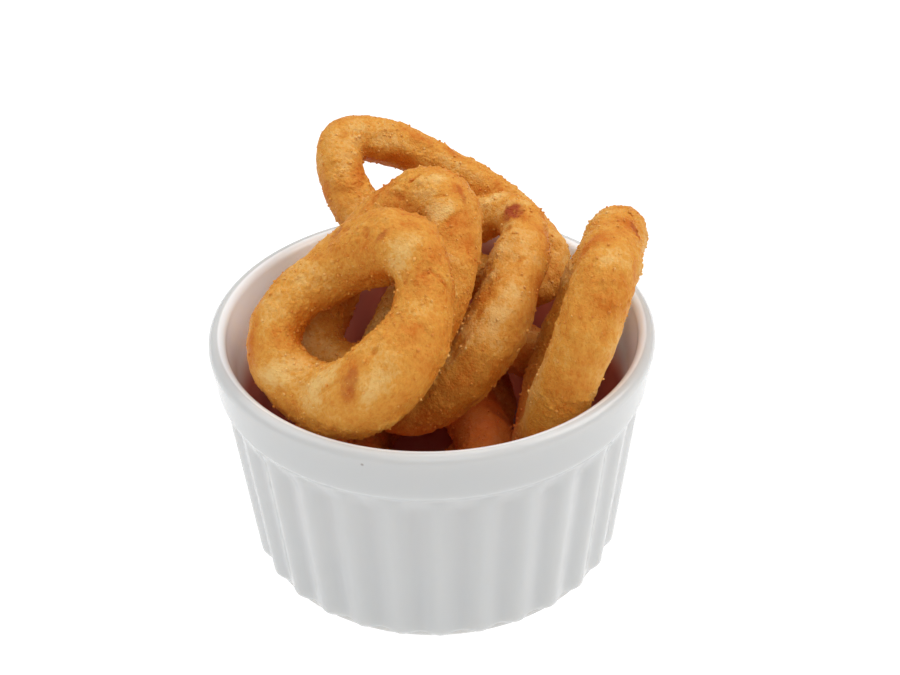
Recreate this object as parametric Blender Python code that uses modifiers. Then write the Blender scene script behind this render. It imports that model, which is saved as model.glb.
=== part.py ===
"""Nine fried onion rings heaped in a fluted porcelain ramekin. Metres, +Z up.

The ramekin stands on its foot ring at z = 0 and its axis is the Z axis. The
dimensions below are in millimetres and are scaled once, as each mesh is made.
"""
import bmesh
import bpy
import numpy as np
from mathutils import Euler

MM = 0.001
COLLECTION = "onion_rings"

# Ramekin, a body of revolution with concave flutes below a plain band.
RIM_RADIUS = 47.5
RIM_HEIGHT = 54.1
LIP_RADIUS = 1.87          # half the thickness of the rounded lip
BAND_BOTTOM_Z = 43.2       # the plain band ends and the flutes begin
BAND_BOTTOM_RADIUS = 46.45
BAND_SWELL = (0.08, 2.6)   # the band is this much narrower, this far below the top
BAND_STEP = (1.2, 0.2)     # the step under the band, this far below and above its edge
WALL_TOP_RADIUS = 45.6     # fluted wall just under the band
WALL_FOOT_RADIUS = 41.1
FOOT_INNER_RADIUS = 36.0
FOOT_OUTER_RADIUS = 39.2
RECESS_DEPTH = 1.3         # hollow under the base, inside the foot ring
FLOOR_Z = 5.0
INSIDE_WALL = ((39.9, 20.0), (38.5, 10.0), (36.6, 6.6), (33.5, FLOOR_Z))
FOOT_CHAMFER = 1.7         # height of the slope from the foot ring to the wall
RECESS_SLOPE = 1.4
FLUTES = 30
FLUTE_DEPTH = 0.9
FLUTE_PHASE = -89.7        # azimuth of one crest, degrees
FLUTE_FADE_Z = 38.8        # the flutes grow shallow from here up to the band
FLUTE_LEFT = 0.15          # share of their depth that is left at the band
FLUTE_ROUND = 0.8          # under 1 widens the hollows and narrows the crests
STEPS_PER_FLUTE = 5
GLAZE_ROUGHNESS = 0.18

# Rings. Each follows an uneven oval in its own plane: "half" holds the half
# lengths of the centre line, "tube" the half widths of the section across and
# along the ring's axis, "at" and "turn" the place and the Euler angles. The
# other entries are waves round the ring as (count, amplitude, phase in
# degrees): "bow" out of the plane, "outline" and "thick" as fractions.
RING_STEPS = 54
TUBE_STEPS = 9
TUBE_FILL = 1.035          # makes up for the facets lying inside the true section
TANGENT_STEP = 0.005       # radians, for the way the centre line runs
CRUST_DEPTH = 0.38         # browned crust relief, cut inwards only
CRUST_WAVES = 14
CRUST_TURNS = (2, 14)      # fewest and most waves along the ring, most left out
CRUST_SPINS = (-3, 4)      # the same round the tube
CRUST_SOFTNESS = 3.0       # smaller makes the hollows steeper
CRUST_ROUGHNESS = 0.62
FIRST_SEED = 40
RINGS = {
    "ring_front": {
        "at": (-15.6, -18.7, 66.2), "turn": (21.5, -38.5, 20.0),
        "half": (17.6, 14.1), "tube": (6.8, 6.7),
        "bow": ((2, 1.1, -105), (3, 1.1, 50)),
        "outline": ((3, 0.05, 60),),
        "thick": ((1, 0.10, -90), (2, 0.13, 110), (3, 0.07, 110)),
    },
    "ring_second": {
        "at": (-9.4, -2.8, 64.2), "turn": (11.5, -41.5, 39.0),
        "half": (20.2, 12.6), "tube": (6.2, 6.2),
        "bow": ((2, 0.6, -160),),
        "outline": ((3, 0.05, 30),),
        "thick": ((1, 0.03, -75), (2, 0.05, 35), (3, 0.07, 55)),
    },
    "ring_third": {
        "at": (4.6, 6.5, 53.8), "turn": (-23.5, -28.0, 64.5),
        "half": (24.1, 15.7), "tube": (6.0, 5.4),
        "bow": ((2, 0.6, -95), (3, 0.9, 25)),
        "outline": ((3, 0.045, -175), (4, 0.05, -125)),
        "thick": ((1, 0.18, -145), (3, 0.06, 70)),
    },
    "ring_back": {
        "at": (3.3, 25.9, 63.2), "turn": (22.0, 30.0, -17.0),
        "half": (25.6, 12.75), "tube": (5.3, 5.2),
        "bow": ((3, 0.4, 165),),
        "outline": ((1, 0.12, 125), (2, 0.05, 70), (3, 0.05, 70), (4, 0.02, -65)),
        "thick": ((1, 0.05, -90), (2, 0.06, 20), (3, 0.04, 30)),
    },
    "ring_right": {
        "at": (30.4, -9.3, 55.2), "turn": (-56.0, -58.0, 48.0),
        "half": (22.6, 15.3), "tube": (6.6, 6.4),
        "bow": ((2, 0.5, -135), (3, 0.3, -45)),
        "outline": ((3, 0.06, 120), (4, 0.03, 130)),
        "thick": ((2, 0.02, -140), (3, 0.02, -170)),
    },
    "ring_low_front": {
        "at": (-6.8, -6.8, 25.7), "turn": (5.5, -2.0, 4.0),
        "half": (18.0, 21.5), "tube": (7.0, 6.5),
        "bow": ((2, 0.2, 65), (3, 0.3, 160)),
        "outline": ((3, 0.02, -85), (4, 0.02, -145)),
        "thick": ((1, 0.02, -120), (2, 0.02, 140)),
    },
    "ring_floor": {
        "at": (-2.0, 11.6, 14.1), "turn": (-2.0, -5.5, 60.5),
        "half": (20.7, 13.6), "tube": (6.7, 6.6),
        "bow": ((2, 0.5, -20), (3, 0.2, -55)),
        "outline": ((3, 0.05, -5), (4, 0.03, -30)),
        "thick": ((1, 0.02, 90), (2, 0.02, 30)),
    },
    "ring_low_back": {
        "at": (9.9, 20.1, 35.9), "turn": (-27.0, -13.0, -53.0),
        "half": (14.8, 11.8), "tube": (5.8, 5.3),
        "bow": ((3, 0.4, -45),),
        "outline": ((3, 0.02, -90),),
        "thick": ((1, 0.05, 115), (3, 0.03, 155)),
    },
    "ring_low_left": {
        "at": (-25.1, 17.3, 44.3), "turn": (-62.0, -48.0, 52.5),
        "half": (14.4, 11.1), "tube": (5.1, 5.3),
        "bow": ((2, 0.3, 40),),
        "outline": ((3, 0.03, 70),),
        "thick": ((1, 0.04, 30), (2, 0.05, 100)),
    },
}

PORCELAIN = (0.86, 0.87, 0.86)
CRUST = {
    "ring_front": (0.66, 0.36, 0.10), "ring_second": (0.63, 0.32, 0.08),
    "ring_third": (0.66, 0.36, 0.10), "ring_back": (0.62, 0.30, 0.06),
    "ring_right": (0.62, 0.31, 0.07), "ring_low_front": (0.55, 0.23, 0.06),
    "ring_floor": (0.50, 0.22, 0.07), "ring_low_back": (0.52, 0.22, 0.06),
    "ring_low_left": (0.56, 0.25, 0.06),
}


def clear_scene():
    for item in list(bpy.data.objects):
        bpy.data.objects.remove(item, do_unlink=True)
    collection = bpy.data.collections.new(COLLECTION)
    bpy.context.scene.collection.children.link(collection)


def make_material(name, colour, roughness):
    material = bpy.data.materials.new(name)
    material.use_nodes = True
    shader = material.node_tree.nodes["Principled BSDF"]
    shader.inputs["Base Color"].default_value = (*colour, 1.0)
    shader.inputs["Roughness"].default_value = roughness
    return material


def add_object(name, mesh, material):
    item = bpy.data.objects.new(name, mesh)
    bpy.data.collections[COLLECTION].objects.link(item)
    mesh.materials.append(material)
    return item


def read_points(mesh):
    points = np.empty(len(mesh.vertices) * 3)
    mesh.vertices.foreach_get("co", points)
    return points.reshape(-1, 3)


def ramekin_profile():
    """Half section in millimetres, from the underside to the floor inside."""
    slope = (WALL_TOP_RADIUS - WALL_FOOT_RADIUS) / BAND_BOTTOM_Z
    heights = (FOOT_CHAMFER, FLUTE_FADE_Z, BAND_BOTTOM_Z - BAND_STEP[0])
    wall = [(WALL_FOOT_RADIUS + slope * z, z) for z in heights]
    quarter_turns = np.radians((0.0, 45.0, 90.0, 135.0, 180.0))
    lip_r = RIM_RADIUS - LIP_RADIUS + LIP_RADIUS * np.cos(quarter_turns)
    lip_z = RIM_HEIGHT - LIP_RADIUS + LIP_RADIUS * np.sin(quarter_turns)
    return [
        (0.0, RECESS_DEPTH), (FOOT_INNER_RADIUS - RECESS_SLOPE, RECESS_DEPTH),
        (FOOT_INNER_RADIUS, 0.0), (FOOT_OUTER_RADIUS, 0.0),
        *wall,
        (BAND_BOTTOM_RADIUS, BAND_BOTTOM_Z + BAND_STEP[1]),
        (RIM_RADIUS - BAND_SWELL[0], RIM_HEIGHT - BAND_SWELL[1]),
        *zip(lip_r, lip_z),
        *INSIDE_WALL,
        (0.0, FLOOR_Z),
    ]


def cut_flutes(points):
    """Draw the outer wall in between the crests, deepest half way between them."""
    azimuth = np.degrees(np.arctan2(points[:, 1], points[:, 0])) - FLUTE_PHASE
    share = np.mod(azimuth * FLUTES / 360.0, 1.0)
    scoop = np.sin(np.pi * share) ** FLUTE_ROUND
    radius = np.hypot(points[:, 0], points[:, 1])
    height = points[:, 2]
    outside = radius > 0.5 * (FOOT_OUTER_RADIUS + WALL_FOOT_RADIUS)
    fluted = outside & (height < BAND_BOTTOM_Z) & (height > 0.5 * FOOT_CHAMFER)
    fade = np.interp(height, [FLUTE_FADE_Z, BAND_BOTTOM_Z], [1.0, FLUTE_LEFT])
    wanted = np.where(fluted, radius - FLUTE_DEPTH * scoop * fade, radius)
    scale = wanted / np.maximum(radius, 1e-6)
    points[:, 0] *= scale
    points[:, 1] *= scale
    return points


def make_ramekin():
    profile = bpy.data.meshes.new("profile")
    corners = [(r * MM, 0.0, z * MM) for r, z in ramekin_profile()]
    profile.from_pydata(corners, [(i, i + 1) for i in range(len(corners) - 1)], [])
    lathe = bpy.data.objects.new("lathe", profile)
    lathe.rotation_euler = (0.0, 0.0, np.radians(FLUTE_PHASE))
    bpy.context.scene.collection.objects.link(lathe)
    screw = lathe.modifiers.new("Screw", "SCREW")
    screw.steps = FLUTES * STEPS_PER_FLUTE
    screw.render_steps = FLUTES * STEPS_PER_FLUTE
    screw.use_merge_vertices = True
    screw.merge_threshold = 0.00002
    bpy.context.view_layer.update()
    graph = bpy.context.evaluated_depsgraph_get()
    mesh = bpy.data.meshes.new_from_object(lathe.evaluated_get(graph))
    mesh.name = "ramekin"
    mesh.transform(lathe.matrix_world)
    bpy.data.objects.remove(lathe, do_unlink=True)
    points = cut_flutes(read_points(mesh) / MM) * MM
    mesh.vertices.foreach_set("co", points.ravel())
    face_outwards(mesh)
    return add_object("ramekin", mesh, make_material("porcelain", PORCELAIN, GLAZE_ROUGHNESS))


def face_outwards(mesh):
    body = bmesh.new()
    body.from_mesh(mesh)
    bmesh.ops.recalc_face_normals(body, faces=body.faces)
    body.to_mesh(mesh)
    body.free()


def waves(angle, terms):
    total = np.zeros_like(angle)
    for count, amplitude, phase in terms:
        total += amplitude * np.cos(count * angle - np.radians(phase))
    return total


def crust_relief(along, round_tube, seed):
    """Shallow craggy hollows, 0 to 1, that close on themselves both ways."""
    dice = np.random.default_rng(seed)
    total = np.zeros_like(along)
    for _ in range(CRUST_WAVES):
        turns = dice.integers(*CRUST_TURNS)
        spins = dice.integers(*CRUST_SPINS)
        total += np.sin(turns * along + spins * round_tube + dice.uniform(0.0, 6.28))
    return 0.5 + 0.5 * np.tanh(total / CRUST_SOFTNESS)


def ring_centre_line(spec, angle):
    grow = 1.0 + waves(angle, spec["outline"])
    return np.stack([
        spec["half"][0] * np.cos(angle) * grow,
        spec["half"][1] * np.sin(angle) * grow,
        waves(angle, spec["bow"]),
    ], axis=-1)


def shape_ring(points, spec, seed):
    """Carry the vertices of a unit torus onto the ring's uneven tube."""
    along = np.arctan2(points[:, 1], points[:, 0])
    across = np.hypot(points[:, 0], points[:, 1]) - 1.0
    round_tube = np.arctan2(points[:, 2], across)
    centre = ring_centre_line(spec, along)
    ahead = ring_centre_line(spec, along + TANGENT_STEP) - centre
    ahead /= np.linalg.norm(ahead, axis=1, keepdims=True)
    outward = np.cross(ahead, (0.0, 0.0, 1.0))
    outward /= np.linalg.norm(outward, axis=1, keepdims=True)
    upward = np.cross(outward, ahead)
    size = TUBE_FILL * (1.0 + waves(along, spec["thick"]))
    cut = CRUST_DEPTH * crust_relief(along, round_tube, seed)
    wide = (spec["tube"][0] * size - cut) * np.cos(round_tube)
    tall = (spec["tube"][1] * size - cut) * np.sin(round_tube)
    local = centre + wide[:, None] * outward + tall[:, None] * upward
    turn = np.array(Euler(np.radians(spec["turn"]), "XYZ").to_matrix())
    return local @ turn.T + np.array(spec["at"])


def make_ring(name, spec, seed):
    bpy.ops.mesh.primitive_torus_add(
        major_segments=RING_STEPS, minor_segments=TUBE_STEPS,
        major_radius=1.0, minor_radius=0.3)
    torus = bpy.context.object
    mesh = torus.data
    mesh.name = name
    bpy.data.objects.remove(torus, do_unlink=True)
    points = shape_ring(read_points(mesh), spec, seed) * MM
    mesh.vertices.foreach_set("co", points.ravel())
    face_outwards(mesh)
    crust = make_material(name + "_crust", CRUST[name], CRUST_ROUGHNESS)
    return add_object(name, mesh, crust)


clear_scene()
make_ramekin()
for number, (ring_name, ring_spec) in enumerate(RINGS.items()):
    make_ring(ring_name, ring_spec, FIRST_SEED + number)
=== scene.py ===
"""The looks of nine fried onion rings in a fluted porcelain ramekin.

Laid out as an add-on and run as a script. Lengths inside the functions are in
millimetres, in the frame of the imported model, and are scaled as meshes are made.
"""
from itertools import product

import bmesh
import bpy
import numpy as np
from mathutils import Euler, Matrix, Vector


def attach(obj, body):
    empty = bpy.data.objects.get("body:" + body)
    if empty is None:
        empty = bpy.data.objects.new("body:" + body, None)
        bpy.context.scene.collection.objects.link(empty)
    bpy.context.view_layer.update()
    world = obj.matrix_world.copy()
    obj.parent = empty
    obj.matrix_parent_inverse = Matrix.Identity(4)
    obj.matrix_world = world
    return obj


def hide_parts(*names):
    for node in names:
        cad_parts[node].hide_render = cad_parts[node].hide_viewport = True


bl_info = {
    "name": "Onion rings in a ramekin",
    "version": (1, 0, 0),
    "blender": (4, 5, 0),
    "location": "3D View > Sidebar > Onion rings",
    "description": "Fried onion rings with crumb crust in a fluted porcelain ramekin",
    "category": "Add Mesh",
}

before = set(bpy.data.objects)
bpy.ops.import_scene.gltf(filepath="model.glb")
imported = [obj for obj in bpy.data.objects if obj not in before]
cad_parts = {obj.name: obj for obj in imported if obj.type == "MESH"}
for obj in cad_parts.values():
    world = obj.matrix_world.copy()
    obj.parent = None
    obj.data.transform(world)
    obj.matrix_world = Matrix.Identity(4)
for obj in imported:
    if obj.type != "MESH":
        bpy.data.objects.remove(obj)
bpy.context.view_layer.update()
MM = 0.001

# Ramekin, half section of the glazed body.
RIM_RADIUS = 47.5
RIM_HEIGHT = 54.1
LIP_RADIUS = 1.87
BAND_BOTTOM_Z = 43.2
BAND_BOTTOM_RADIUS = 46.45
BAND_STEP = (1.2, 0.2)     # the step under the band, this far below and above its edge
WALL_TOP_RADIUS = 45.6
WALL_FOOT_RADIUS = 41.1
FOOT_INNER_RADIUS = 36.0
FOOT_OUTER_RADIUS = 39.2
FOOT_CHAMFER = 1.7         # height of the slope from the foot ring to the wall
RECESS_DEPTH = 1.3         # hollow under the base, inside the foot ring
RECESS_SLOPE = 1.4
FLOOR_Z = 5.0
INSIDE_WALL = ((42.45, 48.2, 2.8), (39.8, 20.0, 6.0), (38.4, 5.2, 4.6))  # fillets last
LIP_STEPS = 16
SECTION_STEP = 1.1         # longest run between two points of the half section
FILLET_STEPS = 6
FLUTES = 30
FLUTE_PHASE = -89.7        # azimuth of one ridge, degrees
FLUTE_FADE_Z = 37.8        # the flutes grow shallow from here up to the band
FLUTE_TOP_GAP = 0.4        # and end this far below it
FLUTE_FOOT_SHARE = 0.25    # they are at full depth from this share of the chamfer up
FLUTE_INSET = 1.2          # the chamfer is fluted from this far inside the wall's foot
FLUTE_ROUND = 1.8          # over 1 widens the ridges and narrows the hollows
STEPS_PER_FLUTE = 14
WALL_SHADE_FROM = 43.0            # painted shade: the glaze inside is tinted reddish brown below this height
WALL_SHADE_SPAN = 9.0             # and wholly so this far further down
WALL_SHADE_CLIMB = 12.5           # the painted shade climbs this much higher behind the rings
WALL_SHADE_SIDE = 75.0            # azimuth of its highest place
WALL_SHADE_NARROWNESS = 6         # larger makes that place narrower
WALL_SHADE_STRENGTH = 0.8
PINHOLES = (
    (-35.9, 29.9, 53.9), (-43.4, -13.9, 53.6), (8.3, -46.9, 49.0), (-13.9, -45.2, 51.6),
)
PINHOLE_RADIUS = 0.28
PINHOLE_EDGE = 1.6         # where a pinhole's tint ends, in radii
PINHOLE_COLOUR = (0.33, 0.31, 0.29, 1.0)
BISCUIT_HEIGHT = 0.25      # the clay is bare up to this height
POOL_SIZE = 14.0           # where the glaze pools it is a little darker
POOL_SHADE = 0.985
SMEAR_SIZE = 3.0           # uneven gloss
SMEAR = 0.05
WAVE_SIZE = 7.0            # waves in the glaze, and small ones on them
SMALL_WAVE_SIZE = 1.3
SMALL_WAVE_SHARE = 0.12

# Rings: an uneven oval centre line in each ring's own plane. "half" holds its
# half lengths, "tube" the half widths of the section across and along the axis,
# "at" and "turn" the place and Euler angles. The rest are waves round the ring
# as (count, amplitude, phase in degrees).
RINGS = {
    "ring_front": {
        "at": (-15.6, -18.7, 66.2), "turn": (21.5, -38.5, 20.0),
        "half": (17.6, 14.1), "tube": (6.8, 6.7),
        "bow": ((2, 1.1, -105), (3, 1.1, 50)),
        "outline": ((3, 0.05, 60),),
        "thick": ((1, 0.10, -90), (2, 0.13, 110), (3, 0.07, 110)),
    },
    "ring_second": {
        "at": (-9.4, -2.8, 64.2), "turn": (11.5, -41.5, 39.0),
        "half": (20.2, 12.6), "tube": (6.2, 6.2),
        "bow": ((2, 0.6, -160),),
        "outline": ((3, 0.05, 30),),
        "thick": ((1, 0.03, -75), (2, 0.05, 35), (3, 0.07, 55)),
    },
    "ring_third": {
        "at": (4.6, 6.5, 53.8), "turn": (-23.5, -28.0, 64.5),
        "half": (24.1, 15.7), "tube": (6.0, 5.4),
        "bow": ((2, 0.6, -95), (3, 0.9, 25)),
        "outline": ((3, 0.045, -175), (4, 0.05, -125)),
        "thick": ((1, 0.18, -145), (3, 0.06, 70)),
    },
    "ring_back": {
        "at": (3.3, 25.9, 63.2), "turn": (22.0, 30.0, -17.0),
        "half": (25.6, 12.75), "tube": (5.3, 5.2),
        "bow": ((3, 0.4, 165),),
        "outline": ((1, 0.12, 125), (2, 0.05, 70), (3, 0.05, 70), (4, 0.02, -65)),
        "thick": ((1, 0.05, -90), (2, 0.06, 20), (3, 0.04, 30)),
    },
    "ring_right": {
        "at": (30.4, -9.3, 55.2), "turn": (-56.0, -58.0, 48.0),
        "half": (22.6, 15.3), "tube": (6.6, 6.4),
        "bow": ((2, 0.5, -135), (3, 0.3, -45)),
        "outline": ((3, 0.06, 120), (4, 0.03, 130)),
        "thick": ((2, 0.02, -140), (3, 0.02, -170)),
    },
    "ring_low_front": {
        "at": (-6.8, -6.8, 25.7), "turn": (5.5, -2.0, 4.0),
        "half": (18.0, 21.5), "tube": (7.0, 6.5),
        "bow": ((2, 0.2, 65), (3, 0.3, 160)),
        "outline": ((3, 0.02, -85), (4, 0.02, -145)),
        "thick": ((1, 0.02, -120), (2, 0.02, 140)),
    },
    "ring_floor": {
        "at": (-2.0, 11.6, 14.1), "turn": (-2.0, -5.5, 60.5),
        "half": (20.7, 13.6), "tube": (6.7, 6.6),
        "bow": ((2, 0.5, -20), (3, 0.2, -55)),
        "outline": ((3, 0.05, -5), (4, 0.03, -30)),
        "thick": ((1, 0.02, 90), (2, 0.02, 30)),
    },
    "ring_low_back": {
        "at": (9.9, 20.1, 35.9), "turn": (-27.0, -13.0, -53.0),
        "half": (14.8, 11.8), "tube": (5.8, 5.3),
        "bow": ((3, 0.4, -45),),
        "outline": ((3, 0.02, -90),),
        "thick": ((1, 0.05, 115), (3, 0.03, 155)),
    },
    "ring_low_left": {
        "at": (-25.1, 17.3, 44.3), "turn": (-62.0, -48.0, 52.5),
        "half": (14.4, 11.1), "tube": (5.1, 5.3),
        "bow": ((2, 0.3, 40),),
        "outline": ((3, 0.03, 70),),
        "thick": ((1, 0.04, 30), (2, 0.05, 100)),
    },
}
LOW_RINGS = ("ring_low_front", "ring_floor", "ring_low_back", "ring_low_left")
DEEP_SHADE_FROM = 47.0           # painted shade: the crust is tinted russet below this height
DEEP_SHADE_SPAN = 14.0           # and is wholly so this far further down
DEEP_SHADE_STRENGTH = 0.65
FINE_STEP = 0.24           # spacing of the points on the rings that show
COARSE_STEP = 0.34         # spacing on the rings deep in the heap
TANGENT_STEP = 0.01        # radians, for the way the centre line runs
RING_SEEDS = 100           # from one ring's first seed to the next one's
SPOT_SEED = 7              # for the spots of the loose crumbs
CRUMB_SEED = 11            # and for their shapes

# Relief of the crust. The sizes are those of lattice cells in millimetres. Lumps
# and ripple lift the crust by shares of the relief setting, crumbs by millimetres.
LUMP_SIZE = 9.0
SMALL_LUMP_SIZE = 4.3
SMALL_LUMP_SHARE = 0.55    # height of the small lumps beside the broad ones
RIPPLE_SIZE = 1.9
LUMP_LIFT = 0.9
RIPPLE_LIFT = 0.5
CRUMB_LIFT = 0.7
FINE_LIFT = 0.2
FINE_SHARE = 0.5           # size of the fine crumbs beside the others
CRUMB_GROUND = 0.28        # crust between the crumbs, as a height among the domes
FINE_GROUND = 0.3
CRUST_SINK = 0.34          # brings the middle of the relief back to the smooth tube
PATCH_SIZE = 6.0           # patches with more and with fewer crumbs
PATCH_CONTRAST = 1.2
PATCH_RANGE = (0.15, 1.0)
DOME_REACH = (0.42, 0.38)  # least radius of a crumb and its random part, in cells
DOME_RISE = (0.3, 0.7)     # the same for its height, in radii

# Browning of the crust, from 0 for pale to 1 for toasted.
TOAST_LEVEL = 0.36
TOAST_SIDES = 0.26         # more on the inner and outer sides of a ring
TOAST_LUMPS = 0.15         # less on the lumps
TOAST_CLOUDS = 0.14
CLOUD_SIZE = 2.6
TOAST_CRUMBS = 0.24        # spread between one crumb and the next
TOAST_FINE = 0.12
TOAST_DOMES = 0.12         # less on the tops of the crumbs
DEEP_SHADE_CLOUDS = 0.3
DEEP_SHADE_CLOUD_SIZE = 4.0
MOTTLE = 0.36
MOTTLE_SIZE = 5.0
SAND = 0.22
SAND_SIZE = 0.55
GRIT_SIZE = 0.32

# Loose crumbs, in millimetres.
CRUMB_RADIUS = (0.12, 0.3)  # least radius and its random part
CRUMB_SMALLNESS = 3.0      # larger makes more of them small
CRUMB_STRETCH = (0.65, 1.25)
CRUMB_RAGGED = (0.78, 1.2)
CRUMB_RAISED = 0.25        # height of its middle over the crust, in radii
CRUMB_TOAST = (-0.22, 0.12)  # against the crust under it

# Marks on the crust, each an ellipse laid on the ring where the photograph's
# camera sees it: (kind, photo x, photo y, half length, half width, slope, strength).
# The place is a pixel of the 900 x 675 photograph, the half sizes are millimetres,
# and the slope is the angle of the long way, anticlockwise from level.
MARKS = {
    "ring_front": (
        ("scorch", 350, 384, 2.9, 1.6, 75, 0.5), ("toast", 347, 369, 2.4, 2.0, 20, 0.9),
        ("toast", 343, 397, 3.0, 2.2, 20, 0.6), ("scorch", 336, 231, 1.9, 0.9, 35, 0.5),
        ("pit", 345, 228, 1.0, 0.7, -20, 0.8), ("pit", 365, 232, 1.5, 0.9, -60, 0.8),
        ("scorch", 382, 235, 1.7, 0.7, 45, 0.5), ("toast", 375, 240, 5.0, 2.6, 10, 0.35),
        ("pit", 316, 257, 1.2, 0.7, 20, 0.6), ("pit", 318, 279, 0.9, 0.7, 0, 0.4),
        ("toast", 334, 250, 3.0, 2.6, 60, 0.4), ("toast", 435, 257, 3.2, 2.6, 60, 0.5),
        ("toast", 420, 282, 2.6, 3.6, 70, 0.8), ("crease", 440, 278, 1.9, 0.5, -38, 1.0),
        ("flake", 445, 272, 2.4, 2.0, 30, 0.8), ("pit", 428, 272, 1.6, 0.6, 40, 0.6),
        ("pit", 403, 277, 0.9, 1.4, 0, 0.5), ("toast", 415, 326, 2.8, 2.0, 10, 0.5),
        ("pit", 374, 350, 0.9, 0.6, 50, 1.0), ("pit", 383, 368, 0.8, 0.7, 50, 0.4),
        ("toast", 338, 305, 3.4, 1.4, 45, 0.7), ("toast", 383, 276, 2.6, 1.3, 30, 0.7),
        ("scorch", 319, 358, 2.6, 0.5, -50, 0.5), ("toast", 306, 335, 2.4, 3.4, 60, 0.5),
        ("toast", 250, 333, 4.4, 1.2, 75, 0.9), ("toast", 262, 292, 4.0, 1.6, 60, 0.6),
        ("crease", 325, 388, 3.8, 0.5, 12, 0.6), ("pale", 326, 379, 4.0, 1.8, 8, 0.7),
        ("crease", 296, 372, 3.0, 0.6, 0, 0.4), ("pale", 268, 376, 3.4, 3.0, 20, 0.7),
        ("pale", 310, 404, 3.4, 2.6, 40, 0.6), ("pale", 405, 250, 3.6, 3.0, 60, 0.6),
        ("pale", 372, 392, 4.6, 2.6, 60, 0.6), ("flake", 388, 424, 2.6, 0.9, 30, 0.9),
        ("toast", 411, 214, 2.4, 0.8, -20, 0.7), ("flake", 362, 346, 3.0, 0.8, 30, 0.5),
    ),
    "ring_second": (
        ("flake", 395, 189, 1.8, 1.0, -35, 1.0), ("pit", 398, 195, 1.5, 0.7, -40, 0.9),
        ("crease", 414, 177, 1.4, 0.5, 45, 1.0), ("crease", 440, 196, 1.3, 0.4, 5, 0.8),
        ("scorch", 462, 194, 2.4, 0.6, -80, 0.4), ("toast", 458, 192, 3.0, 2.0, -80, 0.6),
        ("pit", 373, 198, 1.3, 0.8, 60, 0.7), ("toast", 452, 224, 3.6, 2.0, 10, 0.8),
        ("toast", 406, 207, 3.4, 1.4, -20, 0.5), ("pale", 446, 213, 3.0, 1.4, 20, 0.9),
        ("pale", 436, 178, 2.8, 1.8, -10, 0.8), ("crease", 453, 217, 2.2, 0.6, 40, 0.6),
        ("pit", 420, 187, 0.8, 0.6, 0, 0.5), ("toast", 384, 184, 2.4, 1.2, 40, 0.5),
        ("pit", 466, 214, 1.0, 0.6, 70, 0.5), ("toast", 470, 246, 3.4, 1.6, 80, 0.5),
    ),
    "ring_third": (
        ("scorch", 512, 212, 2.5, 2.1, -30, 1.0), ("toast", 520, 217, 2.4, 1.4, -30, 0.8),
        ("pit", 509, 230, 0.9, 1.1, 60, 0.9), ("crease", 523, 258, 1.6, 0.4, 42, 1.0),
        ("pit", 507, 258, 0.9, 0.5, 50, 0.4), ("flake", 489, 277, 2.3, 0.9, 35, 1.0),
        ("crease", 492, 281, 2.4, 0.5, 30, 0.8), ("toast", 486, 296, 3.4, 2.2, 30, 0.9),
        ("pit", 477, 315, 1.6, 0.7, 55, 0.9), ("pale", 514, 288, 2.4, 2.8, 60, 0.9),
        ("pale", 498, 320, 3.2, 2.0, 50, 0.7), ("flake", 462, 348, 3.2, 0.9, 50, 0.8),
        ("pit", 466, 354, 2.0, 0.6, 50, 0.5), ("scorch", 474, 404, 1.2, 0.6, 30, 0.4),
        ("pale", 494, 197, 2.6, 1.4, 20, 0.8), ("toast", 540, 300, 3.8, 1.2, 70, 0.7),
        ("pale", 500, 350, 3.2, 2.2, 50, 0.5), ("toast", 455, 385, 2.8, 2.0, 30, 0.5),
        ("pale", 528, 258, 4.0, 4.0, 60, 0.9), ("swell", 500, 250, 5.0, 3.2, 75, 1.3),
    ),
    "ring_back": (
        ("toast", 418, 136, 4.4, 1.2, -25, 0.8), ("toast", 456, 154, 5.0, 1.2, -30, 0.8),
        ("toast", 402, 160, 3.6, 1.3, -15, 0.9), ("toast", 360, 172, 1.4, 3.4, 0, 0.9),
        ("pit", 344, 134, 1.3, 1.0, 40, 0.6), ("flake", 358, 125, 2.4, 1.4, 0, 0.7),
        ("pit", 369, 137, 1.0, 1.0, 0, 0.4), ("toast", 505, 190, 4.6, 1.4, -38, 0.6),
        ("pale", 380, 138, 3.8, 1.8, -10, 0.6), ("toast", 325, 190, 1.2, 4.0, 0, 0.5),
    ),
    "ring_right": (
        ("scorch", 634, 229, 1.9, 1.0, 80, 0.6), ("toast", 630, 226, 3.0, 1.4, -60, 0.9),
        ("flake", 579, 283, 2.2, 1.3, 35, 1.0), ("crease", 581, 279, 1.6, 0.4, 30, 0.8),
        ("pale", 588, 291, 3.2, 2.4, 20, 1.0), ("toast", 597, 306, 2.4, 1.8, 40, 0.9),
        ("pit", 632, 303, 1.2, 0.8, 70, 0.9), ("toast", 606, 239, 1.8, 1.2, 0, 0.6),
        ("toast", 588, 243, 3.4, 1.2, 55, 0.8), ("toast", 590, 340, 3.6, 2.2, 60, 0.4),
        ("pale", 612, 258, 4.0, 3.0, 60, 0.9), ("toast", 635, 270, 1.2, 4.2, 0, 0.7),
        ("pale", 598, 320, 5.0, 3.6, 60, 0.9), ("pale", 580, 360, 5.0, 3.0, 60, 0.5),
    ),
    "ring_low_front": (
        ("scorch", 506, 420, 5.0, 1.2, -60, 0.5), ("toast", 488, 400, 5.0, 3.0, 0, 1.0),
    ),
}
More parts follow.
